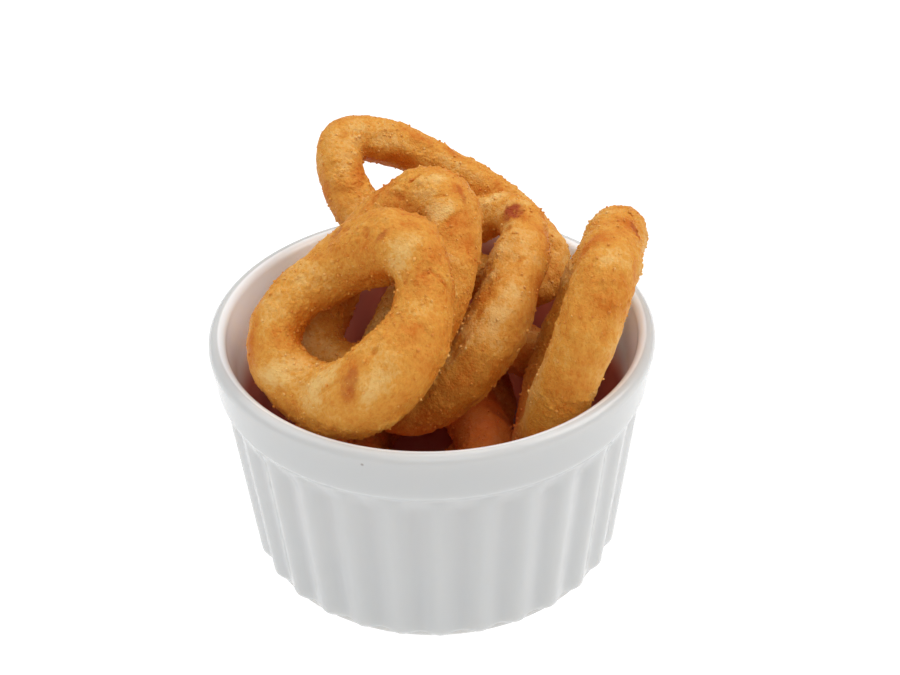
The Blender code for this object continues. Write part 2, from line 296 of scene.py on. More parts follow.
# What each kind of mark does at its middle: (toasting, scorching, lift in millimetres).
MARK_EFFECTS = {
    "toast": (0.5, 0.0, 0.0), "scorch": (0.3, 1.0, -0.05), "pale": (-0.36, 0.0, 0.1),
    "pit": (0.28, 0.14, -0.3), "crease": (0.34, 0.06, -0.3), "flake": (-0.22, 0.0, 0.4),
    "swell": (0.0, 0.0, 1.2),
}
SOFT_MARKS = ("toast", "pale", "swell")
SOFT_FADE = 0.8            # larger makes the soft marks smaller
HARD_EDGE = 1.5            # where the other marks end, in their own half sizes
RAGGED = 0.6               # unevenness of their edges
RAGGED_SIZE = 0.8
MARK_DEPTH = 2.0           # a mark reaches this much deeper than it is long
HIDDEN_MARKS = 16          # marks strewn on each ring where that camera doesn't look
HIDDEN_KINDS = {
    "toast": 0.4, "scorch": 0.04, "pale": 0.2, "pit": 0.17, "crease": 0.1, "flake": 0.07,
    "swell": 0.02,
}
HIDDEN_SIZES = (0.6, 3.2)
HIDDEN_STRENGTHS = (0.4, 1.0)
SMALL_MARKS = ("pit", "crease", "scorch")
SMALL_LENGTH = 0.6         # their sizes beside the other kinds' sizes
SMALL_WIDTH = 0.35

CAMERA_AT = (0.0, -277.5, 238.3)
CAMERA_TURN = (55.76, 0.857, -1.372)
CAMERA_LENS = 62.48
CAMERA_SENSOR = 36.0
PHOTO_SIZE = (900, 675)

# Stage, in metres. Each light is (name, setting with its power, place, size, colour).
FLOOR_HALF = 3.0
WHITE = (1.0, 1.0, 1.0, 1.0)
LIGHT_TARGET = (0.0, 0.0, 0.05)
LIGHTS = (
    ("overhead", "key", (-0.05, 0.25, 0.68), 0.6, (1.0, 0.99, 0.97)),
    ("front", "fill", (0.0, -0.45, 0.6), 0.5, (1.0, 1.0, 1.0)),
    ("left", "left", (-0.5, 0.05, 0.62), 0.5, (0.92, 0.96, 1.0)),
    ("right", "right", (0.5, 0.05, 0.62), 0.5, (1.0, 0.96, 0.92)),
)


def srgb(red, green, blue):
    """Linear colour of an 8-bit screen colour."""
    share = np.array((red, green, blue)) / 255.0
    linear = np.where(share <= 0.04045, share / 12.92, ((share + 0.055) / 1.055) ** 2.4)
    return tuple(float(value) for value in linear)


class CrustSettings(bpy.types.PropertyGroup):
    """Colours and grain of the fried crumb crust."""

    pale: bpy.props.FloatVectorProperty(
        name="Pale crust", description="Least fried crust, on the flat faces",
        subtype="COLOR", size=3, min=0.0, max=1.0, default=srgb(238, 192, 116))
    golden: bpy.props.FloatVectorProperty(
        name="Golden crust", description="Most of the crust",
        subtype="COLOR", size=3, min=0.0, max=1.0, default=srgb(225, 155, 60))
    toasted: bpy.props.FloatVectorProperty(
        name="Toasted crust", description="Edges and blisters",
        subtype="COLOR", size=3, min=0.0, max=1.0, default=srgb(208, 116, 24))
    # Painted shade: russet laid on the crust low in the heap, standing in for the dim red light
    # between the rings there.
    russet: bpy.props.FloatVectorProperty(
        name="Russet crust", description="Crust deep in the heap, where the oil gathers",
        subtype="COLOR", size=3, min=0.0, max=1.0, default=srgb(236, 110, 44))
    scorched: bpy.props.FloatVectorProperty(
        name="Scorched spots", description="Darkest spots and pits",
        subtype="COLOR", size=3, min=0.0, max=1.0, default=srgb(166, 70, 26))
    roughness: bpy.props.FloatProperty(
        name="Roughness", description="Roughness of the crust",
        subtype="FACTOR", min=0.0, max=1.0, default=0.56)
    crumb: bpy.props.FloatProperty(
        name="Crumb size", description="Size of one crumb of the coating",
        unit="LENGTH", min=0.0003, max=0.003, default=0.00085)
    relief: bpy.props.FloatProperty(
        name="Relief", description="Height of the lumps and hollows of the crust",
        unit="LENGTH", min=0.0, max=0.001, default=0.00045)
    loose: bpy.props.IntProperty(
        name="Loose crumbs", description="Number of separate crumbs on the rings",
        min=0, max=9500, default=9000)


class GlazeSettings(bpy.types.PropertyGroup):
    """Finish of the porcelain ramekin."""

    colour: bpy.props.FloatVectorProperty(
        name="Glaze", description="White of the glaze",
        subtype="COLOR", size=3, min=0.0, max=1.0, default=(0.6, 0.61, 0.61))
    # Painted light: the wall inside gets this whiter, slightly bluish glaze instead of the grey
    # outer one, standing in for the brighter light inside the bowl.
    inside: bpy.props.FloatVectorProperty(
        name="Inside glaze", description="Whiter glaze of the wall inside",
        subtype="COLOR", size=3, min=0.0, max=1.0, default=(0.91, 0.95, 0.97))
    # Painted shade: reddish-brown tint on the inner wall low down and behind the rings, standing in
    # for the shade there.
    oil: bpy.props.FloatVectorProperty(
        name="Oil film", description="Tint of the oil on the wall low inside",
        subtype="COLOR", size=3, min=0.0, max=1.0, default=srgb(182, 92, 64))
    biscuit: bpy.props.FloatVectorProperty(
        name="Bare foot", description="Unglazed clay of the foot ring",
        subtype="COLOR", size=3, min=0.0, max=1.0, default=(0.72, 0.69, 0.63))
    roughness: bpy.props.FloatProperty(
        name="Roughness", description="Roughness of the glaze",
        subtype="FACTOR", min=0.0, max=1.0, default=0.16)
    flute_depth: bpy.props.FloatProperty(
        name="Flute depth", description="Depth of the flutes between their ridges",
        unit="LENGTH", min=0.0, max=0.002, default=0.0011)


class StageSettings(bpy.types.PropertyGroup):
    """Floor and lights."""

    floor: bpy.props.FloatVectorProperty(
        name="Floor", description="Colour of the floor",
        subtype="COLOR", size=3, min=0.0, max=1.0, default=(0.3, 0.3, 0.3))
    glow: bpy.props.FloatProperty(
        name="Floor glow", description="Light that the white floor gives off by itself",
        min=0.0, max=1.0, default=0.85)
    sky: bpy.props.FloatProperty(
        name="Sky", description="Brightness of the surrounding light",
        min=0.0, max=5.0, default=0.46)
    key: bpy.props.FloatProperty(
        name="Overhead light", description="Power of the large light above",
        unit="POWER", min=0.0, max=200.0, default=1.4)
    fill: bpy.props.FloatProperty(
        name="Front light", description="Power of the soft light above the camera",
        unit="POWER", min=0.0, max=100.0, default=0.7)
    left: bpy.props.FloatProperty(
        name="Left light", description="Power of the light at the left",
        unit="POWER", min=0.0, max=100.0, default=0.9)
    right: bpy.props.FloatProperty(
        name="Right light", description="Power of the light at the right",
        unit="POWER", min=0.0, max=100.0, default=2.3)


class OnionRingSettings(bpy.types.PropertyGroup):
    """All settings of the scene."""

    crust: bpy.props.PointerProperty(
        type=CrustSettings, name="Crust", description="Fried crust")
    glaze: bpy.props.PointerProperty(
        type=GlazeSettings, name="Glaze", description="Porcelain")
    stage: bpy.props.PointerProperty(
        type=StageSettings, name="Stage", description="Floor and lights")


def scattered(x, y, z, seed):
    """Repeatable random numbers, 0 to 1, for whole numbers: mix the bits of all three."""
    key = np.uint32((seed * 0x9E3779B1) & 0xFFFFFFFF)
    bits = x.astype(np.uint32) * np.uint32(0x8DA6B343)
    bits = bits ^ (y.astype(np.uint32) * np.uint32(0xD8163841))
    bits = bits ^ (z.astype(np.uint32) * np.uint32(0xCB1AB31F)) ^ key
    for shift, factor in ((15, 0x2C1B3C6D), (12, 0x297A2D39)):
        bits = (bits ^ (bits >> np.uint32(shift))) * np.uint32(factor)
    bits = bits ^ (bits >> np.uint32(15))
    return bits / float(0xFFFFFFFF)


def noise(points, cell, seed):
    """Soft lumps, -1 to 1: random heights at the corners of a cubic lattice, blended with
    an eased weight."""
    place = points / cell
    low = np.floor(place).astype(np.int64)
    part = place - low
    ease = part * part * (3.0 - 2.0 * part)
    total = np.zeros(len(points))
    for corner in product((0, 1), repeat=3):
        weight = np.prod(np.where(np.array(corner) == 1, ease, 1.0 - ease), axis=1)
        total += weight * scattered(*(low + corner).T, seed)
    return 2.0 * total - 1.0


def crumb_domes(points, cell, seed):
    """Height and tone of a coat of crumbs: one round crumb at a random spot of every
    lattice cell, and the tallest dome wins."""
    low = np.floor(points / cell).astype(np.int64)
    height = np.zeros(len(points))
    tone = np.zeros(len(points))
    for offset in product((-1, 0, 1), repeat=3):
        spot = (low + offset).T
        jitter = np.stack([scattered(*spot, seed + axis) for axis in range(3)], axis=1)
        reach = DOME_REACH[0] + DOME_REACH[1] * scattered(*spot, seed + 3)
        away = np.linalg.norm(points / cell - spot.T - jitter, axis=1) / reach
        rise = DOME_RISE[0] + DOME_RISE[1] * scattered(*spot, seed + 5)
        dome = np.sqrt(np.clip(1.0 - away * away, 0.0, None)) * reach / sum(DOME_REACH) * rise
        taller = dome > height
        height = np.where(taller, dome, height)
        tone = np.where(taller, scattered(*spot, seed + 4), tone)
    return height, tone


def waves(angle, terms):
    """Sum of cosines round the ring."""
    return sum(size * np.cos(count * angle - np.radians(phase)) for count, size, phase in terms)


def centre_line(spec, along):
    """Uneven oval: an ellipse whose radius swells with the outline waves and whose height
    follows the bow waves."""
    grow = 1.0 + waves(along, spec["outline"])
    return np.stack([
        spec["half"][0] * np.cos(along) * grow,
        spec["half"][1] * np.sin(along) * grow,
        waves(along, spec["bow"]),
    ], axis=-1)


def tube_surface(spec, along, around):
    """Points of a smooth ring and their outward directions: an ellipse carried along the
    centre line, square to it."""
    ahead = centre_line(spec, along + TANGENT_STEP) - centre_line(spec, along - TANGENT_STEP)
    ahead /= np.linalg.norm(ahead, axis=-1, keepdims=True)
    outward = np.cross(ahead, (0.0, 0.0, 1.0))
    outward /= np.linalg.norm(outward, axis=-1, keepdims=True)
    upward = np.cross(outward, ahead)
    size = (1.0 + waves(along, spec["thick"]))[..., None]
    wide = np.cos(around)[..., None] * outward
    tall = np.sin(around)[..., None] * upward
    local = centre_line(spec, along) + size * (spec["tube"][0] * wide + spec["tube"][1] * tall)
    normal = wide / spec["tube"][0] + tall / spec["tube"][1]
    normal /= np.linalg.norm(normal, axis=-1, keepdims=True)
    turn = np.array(Euler(np.radians(spec["turn"]), "XYZ").to_matrix())
    return local @ turn.T + np.array(spec["at"]), normal @ turn.T


def camera_axes():
    """Directions to the right, up and ahead of the photograph's camera."""
    turn = np.array(Euler(np.radians(CAMERA_TURN), "XYZ").to_matrix())
    return turn[:, 0], turn[:, 1], -turn[:, 2]


def spot_in_photo(points, normal, pixel):
    """Number of the point facing the camera that the photograph shows nearest a pixel."""
    right, up, ahead = camera_axes()
    away = points - np.array(CAMERA_AT)
    scale = CAMERA_LENS / CAMERA_SENSOR * PHOTO_SIZE[0] / (away @ ahead)
    across = 0.5 * PHOTO_SIZE[0] + scale * (away @ right) - pixel[0]
    down = 0.5 * PHOTO_SIZE[1] - scale * (away @ up) - pixel[1]
    facing = np.einsum("ij,ij->i", normal, away) < 0.0
    return int(np.argmin(np.where(facing, np.hypot(across, down), np.inf)))


def mark_span(points, middle, normal, sizes, slope):
    """How far each point is from the middle of a mark, 1 at its edge: an ellipse laid on
    the crust, its long way at the slope that the camera sees."""
    right, up, _ = camera_axes()
    run = np.cos(np.radians(slope)) * right + np.sin(np.radians(slope)) * up
    run = run - (run @ normal) * normal
    run /= np.linalg.norm(run)
    beside = np.cross(normal, run)
    away = points - middle
    depth = away @ normal / (sizes[0] + MARK_DEPTH)
    return np.sqrt((away @ run / sizes[0]) ** 2 + (away @ beside / sizes[1]) ** 2 + depth ** 2)


def ring_marks(name, points, normal, seed):
    """The marks read from the photograph, then some strewn at random on the far side."""
    for kind, x, y, length, width, slope, strength in MARKS.get(name, ()):
        yield kind, spot_in_photo(points, normal, (x, y)), (length, width), slope, strength
    dice = np.random.default_rng(seed)
    facing = (normal @ camera_axes()[2] < 0.0) & (name not in LOW_RINGS)
    for number in dice.choice(np.flatnonzero(~facing), HIDDEN_MARKS, replace=False):
        kind = str(dice.choice(list(HIDDEN_KINDS), p=list(HIDDEN_KINDS.values())))
        length, width = np.sort(dice.uniform(*HIDDEN_SIZES, 2))[::-1]
        if kind in SMALL_MARKS:
            length, width = SMALL_LENGTH * length, SMALL_WIDTH * width
        slope = dice.uniform(0.0, 180.0)
        yield kind, number, (length, width), slope, dice.uniform(*HIDDEN_STRENGTHS)


def ring_shape(name, seed, settings):
    """Points, normals, faces and tones of a crusted ring: the smooth tube, raised along its
    normal by soft lumps, crumbs and marks."""
    spec = RINGS[name]
    step = COARSE_STEP if name in LOW_RINGS else FINE_STEP
    columns = int(2.0 * np.pi * np.sqrt(np.mean(np.square(spec["half"]))) / step)
    rows = int(2.0 * np.pi * np.mean(spec["tube"]) / step)
    along, around = np.meshgrid(
        np.linspace(0.0, 2.0 * np.pi, columns, endpoint=False),
        np.linspace(0.0, 2.0 * np.pi, rows, endpoint=False), indexing="ij")
    points, normal = tube_surface(spec, along.ravel(), around.ravel())
    lumps = noise(points, LUMP_SIZE, seed)
    lumps += SMALL_LUMP_SHARE * noise(points, SMALL_LUMP_SIZE, seed + 1)
    ripple = noise(points, RIPPLE_SIZE, seed + 2)
    crumbs, crumb_tone = crumb_domes(points, settings.crumb / MM, seed + 3)
    fine_crumbs, fine_tone = crumb_domes(points, FINE_SHARE * settings.crumb / MM, seed + 9)
    coat = 0.5 + PATCH_CONTRAST * noise(points, PATCH_SIZE, seed + 15)
    grain = CRUMB_LIFT * np.maximum(crumbs, CRUMB_GROUND)
    grain += FINE_LIFT * np.maximum(fine_crumbs, FINE_GROUND)
    lift = settings.relief / MM * (LUMP_LIFT * lumps + RIPPLE_LIFT * ripple)
    lift += np.clip(coat, *PATCH_RANGE) * grain - CRUST_SINK
    toast = TOAST_LEVEL + TOAST_SIDES * np.cos(around.ravel()) ** 2 - TOAST_LUMPS * lumps
    toast += TOAST_CLOUDS * noise(points, CLOUD_SIZE, seed + 16)
    toast += TOAST_CRUMBS * (crumb_tone - 0.5) + TOAST_FINE * (fine_tone - 0.5)
    toast -= TOAST_DOMES * (crumbs - 0.5)
    # painted shade: how far down in the heap the crust is, which tints it russet like the shade
    # there
    deep = np.clip((DEEP_SHADE_FROM - points[:, 2]) / DEEP_SHADE_SPAN, 0.0, 1.0)
    deep *= DEEP_SHADE_STRENGTH * (1.0 + DEEP_SHADE_CLOUDS * noise(points, DEEP_SHADE_CLOUD_SIZE, seed + 19))
    scorch = np.zeros(len(points))
    ragged = 1.0 + RAGGED * noise(points, RAGGED_SIZE, seed + 17)
    for kind, number, sizes, slope, strength in ring_marks(name, points, normal, seed + 18):
        span = mark_span(points, points[number], normal[number], sizes, slope)
        if kind in SOFT_MARKS:
            share = np.exp(-SOFT_FADE * span * span)
        else:
            edge = np.clip(HARD_EDGE - span, 0.0, 1.0) * ragged
            share = np.clip(edge * edge * (3.0 - 2.0 * edge), 0.0, 1.0)
        share = strength * share
        toasting, scorching, raise_by = MARK_EFFECTS[kind]
        toast += toasting * share
        scorch = np.maximum(scorch, scorching * share)
        lift += raise_by * share
    points = points + lift[:, None] * normal
    quads = torus_quads(columns, rows)
    tones = {"toast": np.clip(toast, 0.0, 1.0), "scorch": scorch, "deep": deep}
    return points, normal, quads, tones


def torus_quads(columns, rows):
    """Faces of a grid that closes on itself both ways."""
    index = np.arange(columns * rows).reshape(columns, rows)
    ahead = np.roll(index, -1, axis=0)
    corners = [index, ahead, np.roll(ahead, -1, axis=1), np.roll(index, -1, axis=1)]
    return np.stack(corners, axis=-1).reshape(-1, 4)


def make_mesh(name, points, faces, tones=None):
    """Mesh from arrays: points in millimetres, and faces as arrays of corner numbers, one
    array for each count of corners."""
    mesh = bpy.data.meshes.new(name)
    mesh.vertices.add(len(points))
    mesh.vertices.foreach_set("co", (points * MM).astype(np.float32).ravel())
    corners = np.concatenate([part.ravel() for part in faces])
    counts = np.concatenate([np.full(len(part), part.shape[1]) for part in faces])
    mesh.loops.add(len(corners))
    mesh.loops.foreach_set("vertex_index", corners.astype(np.int32))
    mesh.polygons.add(len(counts))
    mesh.polygons.foreach_set("loop_start", (np.cumsum(counts) - counts).astype(np.int32))
    mesh.update(calc_edges=True)
    mesh.shade_smooth()
    for key, values in (tones or {}).items():
        attribute = mesh.attributes.new(key, "FLOAT", "POINT")
        attribute.data.foreach_set("value", values.astype(np.float32))
    return mesh


def add_piece(mesh, material):
    """Object for a finished mesh, at the origin, riding on the model's one body."""
    piece = bpy.data.objects.new(mesh.name, mesh)
    bpy.context.scene.collection.objects.link(piece)
    mesh.materials.append(material)
    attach(piece, "root")
    return piece


class Wire:
    """A shader socket that takes part in arithmetic; each operation adds a Math node."""

    def __init__(self, paint, socket):
        self.paint = paint
        self.socket = socket

    def math(self, operation, *values):
        inputs = dict(enumerate(values))
        return self.paint.node("ShaderNodeMath", {"operation": operation}, inputs)

    def __add__(self, other):
        return self.math("ADD", self, other)

    __radd__ = __add__

    def __sub__(self, other):
        return self.math("SUBTRACT", self, other)

    def __rsub__(self, other):
        return self.math("SUBTRACT", other, self)

    def __mul__(self, other):
        return self.math("MULTIPLY", self, other)

    __rmul__ = __mul__

    def __truediv__(self, other):
        return self.math("DIVIDE", self, other)

    def clamp(self):
        return self.math("MINIMUM", self.math("MAXIMUM", self, 0.0), 1.0)


class Paint:
    """A material whose nodes are added by one method."""

    def __init__(self, name):
        self.material = bpy.data.materials.new(name)
        self.material.use_nodes = True
        self.tree = self.material.node_tree
        self.shader = self.tree.nodes["Principled BSDF"]

    def node(self, kind, settings=None, inputs=None, output=0):
        """Add a node of a type with its settings, then the values or wires of its sockets."""
        node = self.tree.nodes.new(kind)
        for key, value in (settings or {}).items():
            if key == "stops":
                self.set_stops(node.color_ramp, value)
            else:
                setattr(node, key, value)
        for key, value in (inputs or {}).items():
            self.feed(node.inputs[key], value)
        return Wire(self, node.outputs[output])

    def set_stops(self, ramp, stops):
        while len(ramp.elements) < len(stops):
            ramp.elements.new(0.5)
        for element, (place, colour) in zip(ramp.elements, stops):
            element.position = place
            element.color = (*colour, 1.0)

    def feed(self, socket, value):
        if isinstance(value, Wire):
            self.tree.links.new(value.socket, socket)
        else:
            socket.default_value = value

    def place(self):
        return self.node("ShaderNodeTexCoord", output="Object")

    def noise(self, size, detail=2.0):
        """Noise whose lumps are about size millimetres across."""
        inputs = {"Vector": self.place(), "Scale": 1.0 / (size * MM), "Detail": detail}
        return self.node("ShaderNodeTexNoise", inputs=inputs)

    def attribute(self, name):
        return self.node("ShaderNodeAttribute", {"attribute_name": name}, output="Fac")

    def mix(self, share, first, second):
        """Blend two colours; a Mix node's sockets for colours are 6 and 7, and 2 goes out."""
        inputs = {0: share, 6: first, 7: second}
        return self.node("ShaderNodeMix", {"data_type": "RGBA"}, inputs, output=2)

    def bump(self, height, distance, strength):
        inputs = {"Height": height, "Distance": distance, "Strength": strength}
        return self.node("ShaderNodeBump", inputs=inputs)

    def shade(self, values):
        """Set or link inputs of the shader, by name."""
        for key, value in values.items():
            self.feed(self.shader.inputs[key], value)


def browning_stops(settings):
    """Colours of the crust from the least to the most browned."""
    return ((0.0, settings.pale), (0.4, settings.golden), (0.85, settings.toasted))


def crust_material(name, settings):
    """Fried crumb: a ramp from pale to toasted over the mesh's own tone, a painted russet shade
    where it is deep in the heap, scorched spots and a sandy bump."""
    paint = Paint(name)
    mottle = paint.noise(MOTTLE_SIZE, 3.0)
    sand = paint.noise(SAND_SIZE, 3.0)
    tone = paint.attribute("toast") + MOTTLE * (mottle - 0.5) + SAND * (sand - 0.5)
    crust = paint.node("ShaderNodeValToRGB", {"stops": browning_stops(settings)}, {0: tone.clamp()})
    # painted shade: russet mixed in deep in the heap
    crust = paint.mix(paint.attribute("deep"), crust, (*settings.russet, 1.0))
    crust = paint.mix(paint.attribute("scorch"), crust, (*settings.scorched, 1.0))
    paint.shade({
        "Base Color": crust,
        "Roughness": (settings.roughness + SAND * (sand - 0.5)).clamp(),
        "Normal": paint.bump(sand + 0.6 * paint.noise(GRIT_SIZE), 0.0004, 0.9),
        "Specular IOR Level": 0.22,
        "Subsurface Weight": 0.15,
        "Subsurface Radius": (1.0, 0.45, 0.15),
        "Subsurface Scale": 0.0015,
    })
    return paint.material


def crumb_material(settings):
    """Loose crumbs: each has its own tone between pale and toasted."""
    paint = Paint("loose_crumb")
    tone = paint.attribute("toast") + 0.2 * (paint.noise(0.4) - 0.5)
    crumb = paint.node("ShaderNodeValToRGB", {"stops": browning_stops(settings)}, {0: tone.clamp()})
    # painted shade: the same russet shade as the crust under the crumb
    crumb = paint.mix(paint.attribute("deep"), crumb, (*settings.russet, 1.0))
    paint.shade({"Base Color": crumb, "Roughness": settings.roughness})
    return paint.material


def glaze_material(settings):
    """White glaze that pools a little darker in places, with pinholes at the rim, painted light
    whiter on the wall inside, painted reddish shade low inside, and bare clay under the foot ring."""
    paint = Paint("porcelain_glaze")
    place = paint.place()
    height = paint.node("ShaderNodeSeparateXYZ", inputs={0: place}, output="Z")
    bare = (1.0 - height / (BISCUIT_HEIGHT * MM)).clamp()
    pooled = POOL_SHADE * np.array(settings.colour)
    colour = paint.mix(paint.noise(POOL_SIZE), (*settings.colour, 1.0), (*pooled, 1.0))
    for hole in PINHOLES:
        ends = {0: place, 1: tuple(value * MM for value in hole)}
        away = paint.node("ShaderNodeVectorMath", {"operation": "DISTANCE"}, ends, output="Value")
        share = (PINHOLE_EDGE - away / (PINHOLE_RADIUS * MM)).clamp()
        colour = paint.mix(share, colour, PINHOLE_COLOUR)
    # painted light: whiter, bluish glaze on the wall inside
    colour = paint.mix(paint.attribute("inside"), colour, (*settings.inside, 1.0))
    # painted shade: reddish-brown tint low on the inner wall
    colour = paint.mix(paint.attribute("oil"), colour, (*settings.oil, 1.0))
    colour = paint.mix(bare, colour, (*settings.biscuit, 1.0))
    rough = settings.roughness + SMEAR * (paint.noise(SMEAR_SIZE) - 0.5) + 0.5 * bare
    ripple = paint.noise(WAVE_SIZE, 1.0) + SMALL_WAVE_SHARE * paint.noise(SMALL_WAVE_SIZE, 1.0)
    paint.shade({
        "Base Color": colour,
        "Roughness": rough.clamp(),
        "Normal": paint.bump(ripple, 0.00012, 0.5),
        "Subsurface Weight": 0.7,
        "Subsurface Radius": (1.0, 0.9, 0.8),
        "Subsurface Scale": 0.006,
        "Coat Weight": 0.25,
        "Coat Roughness": 0.05,
    })
    return paint.material


def rounded_profile(corners):
    """Half section through corners (radius, height, fillet): straight runs between
    fillets, each fillet a parabola that starts and ends on the runs."""
    corners = np.array(corners, float)
    spots = corners[:, :2]
    path = [spots[0]]
    for number in range(1, len(corners)):
        start = path[-1]
        if number == len(corners) - 1:
            entry, exits = spots[number], None
        else:
            back = spots[number - 1] - spots[number]
            onward = spots[number + 1] - spots[number]
            reach = corners[number, 2]
            entry = spots[number] + reach * back / np.linalg.norm(back)
            exits = spots[number] + reach * onward / np.linalg.norm(onward)
        pieces = max(1, int(np.ceil(np.linalg.norm(entry - start) / SECTION_STEP)))
        share = np.linspace(0.0, 1.0, pieces + 1)[1:, None]
        path.extend(start + share * (entry - start))
        if exits is not None and corners[number, 2] > 0.0:
            share = np.linspace(0.0, 1.0, FILLET_STEPS + 1)[1:, None]
            pull = 2 * share * (1 - share) * spots[number]
            path.extend((1 - share) ** 2 * entry + pull + share ** 2 * exits)
    return np.array(path)


def ramekin_section():
    """Half section from the centre of the underside, round the foot, up the wall, over the
    lip and down to the floor inside."""
    slope = (WALL_TOP_RADIUS - WALL_FOOT_RADIUS) / BAND_BOTTOM_Z
    wall_top = BAND_BOTTOM_Z - BAND_STEP[0]
    outside = [
        (0.0, RECESS_DEPTH, 0.0), (FOOT_INNER_RADIUS - RECESS_SLOPE, RECESS_DEPTH, 0.9),
        (FOOT_INNER_RADIUS, 0.0, 0.5), (FOOT_OUTER_RADIUS, 0.0, 0.5),
        (WALL_FOOT_RADIUS + slope * FOOT_CHAMFER, FOOT_CHAMFER, 0.9),
        (WALL_FOOT_RADIUS + slope * wall_top, wall_top, 0.8),
        (BAND_BOTTOM_RADIUS, BAND_BOTTOM_Z + BAND_STEP[1], 0.7),
        (RIM_RADIUS, RIM_HEIGHT - LIP_RADIUS, 0.0),
    ]
    turn = np.linspace(0.0, np.pi, LIP_STEPS + 1)[1:-1]
    lip = np.stack([
        RIM_RADIUS - LIP_RADIUS + LIP_RADIUS * np.cos(turn),
        RIM_HEIGHT - LIP_RADIUS + LIP_RADIUS * np.sin(turn),
    ], axis=1)
    inside = [
        (RIM_RADIUS - 2.0 * LIP_RADIUS, RIM_HEIGHT - LIP_RADIUS, 0.0), *INSIDE_WALL,
        (0.0, FLOOR_Z, 0.0),
    ]
    return np.concatenate([rounded_profile(outside), lip, rounded_profile(inside)])


def ramekin_shape(settings):
    """Points, faces and tones of the ramekin: the half section turned round the axis, with
    the outer wall drawn in between the flutes' ridges."""
    section = ramekin_section()
    ring = section[1:-1]
    steps = FLUTES * STEPS_PER_FLUTE
    azimuth = np.linspace(0.0, 2.0 * np.pi, steps, endpoint=False)
    radius, turn = np.meshgrid(ring[:, 0], azimuth, indexing="ij")
    height = np.repeat(ring[:, 1:], steps, axis=1)
    share = np.mod((np.degrees(turn) - FLUTE_PHASE) * FLUTES / 360.0, 1.0)
    scoop = np.sin(np.pi * share) ** FLUTE_ROUND
    lip_row = int(np.argmax(ring[:, 1]))
    outer = (np.arange(len(ring)) < lip_row)[:, None] & (radius > WALL_FOOT_RADIUS - FLUTE_INSET)
    flute_top = BAND_BOTTOM_Z - FLUTE_TOP_GAP
    top = np.clip((flute_top - height) / (flute_top - FLUTE_FADE_Z), 0.0, 1.0)
    bottom = np.clip(height / (FLUTE_FOOT_SHARE * FOOT_CHAMFER), 0.0, 1.0)
    depth = settings.flute_depth / MM * scoop * top * top * (3.0 - 2.0 * top) * bottom
    radius = np.where(outer, radius - depth, radius)
    points = np.stack([radius * np.cos(turn), radius * np.sin(turn), height], axis=-1)
    points = points.reshape(-1, 3)
    poles = np.array([(0.0, 0.0, section[0, 1]), (0.0, 0.0, section[-1, 1])])
    index = np.arange(len(points)).reshape(len(ring), steps)
    beside = np.roll(index, -1, axis=1)
    quads = np.stack([index[:-1], beside[:-1], beside[1:], index[1:]], axis=-1).reshape(-1, 4)
    low = np.stack([np.full(steps, len(points)), beside[0], index[0]], axis=-1)
    high = np.stack([np.full(steps, len(points) + 1), index[-1], beside[-1]], axis=-1)
    inner = (np.arange(len(ring)) > lip_row)[:, None]
    # Painted shade: the inner wall is tinted below a height that rises behind the rings.
    facing = np.clip(np.cos(turn - np.radians(WALL_SHADE_SIDE)), 0.0, 1.0)
    climb = WALL_SHADE_CLIMB * facing ** WALL_SHADE_NARROWNESS
    oil = np.where(inner, np.clip((WALL_SHADE_FROM + climb - height) / WALL_SHADE_SPAN, 0.0, 1.0), 0.0)
    oil = WALL_SHADE_STRENGTH * np.concatenate([oil.ravel(), (0.0, 1.0)])
    # painted light: mask of the inner wall, which gets the whiter glaze
    inside = np.concatenate([(inner & (radius > 0.0)).ravel(), (0.0, 1.0)])
    return np.concatenate([points, poles]), (quads, low, high), {"oil": oil, "inside": inside}


def unit_crumb():
    """Corners and faces of a ball of 20 faces."""
    body = bmesh.new()
    bmesh.ops.create_icosphere(body, subdivisions=1, radius=1.0)
    corners = np.array([vertex.co for vertex in body.verts])
    faces = np.array([[vertex.index for vertex in face.verts] for face in body.faces])
    body.free()
    return corners, faces


def loose_crumbs(spots, normals, tones, seed):
    """Joined crumbs: each ball is stretched unevenly, turned at random and half sunk in
    the crust at its spot, whose tone it nearly has."""
    dice = np.random.default_rng(seed)
    corners, faces = unit_crumb()
    count = len(spots)
    size = CRUMB_RADIUS[0] + CRUMB_RADIUS[1] * dice.random((count, 1, 1)) ** CRUMB_SMALLNESS
    stretch = dice.uniform(*CRUMB_STRETCH, (count, 1, 3))
    ragged = dice.uniform(*CRUMB_RAGGED, (count, len(corners), 1))
    axis = dice.normal(size=(count, 3))
    axis /= np.linalg.norm(axis, axis=1, keepdims=True)
    other = np.cross(axis, dice.normal(size=(count, 3)))
    other /= np.linalg.norm(other, axis=1, keepdims=True)
    turn = np.stack([axis, other, np.cross(axis, other)], axis=1)
    balls = np.einsum("nvk,nkj->nvj", corners[None] * stretch * ragged * size, turn)
    points = balls + (spots + CRUMB_RAISED * size[:, 0] * normals)[:, None, :]
    joined = faces[None] + len(corners) * np.arange(count)[:, None, None]
    toast = np.repeat(tones[:, 0] + dice.uniform(*CRUMB_TOAST, count), len(corners))
    # painted shade of the crust under each crumb
    deep = np.repeat(tones[:, 1], len(corners))
    return points.reshape(-1, 3), joined.reshape(-1, 3), {"toast": toast, "deep": deep}


class ONIONRINGS_OT_ramekin(bpy.types.Operator):
    """Fluted porcelain ramekin"""

    bl_idname = "onion_rings.ramekin"
    bl_label = "Ramekin"

    def execute(self, context):
        settings = context.scene.onion_rings.glaze
        points, faces, tones = ramekin_shape(settings)
        mesh = make_mesh("glazed_ramekin", points, faces, tones)
        piece = add_piece(mesh, glaze_material(settings))
        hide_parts("ramekin")
        return {"FINISHED"}


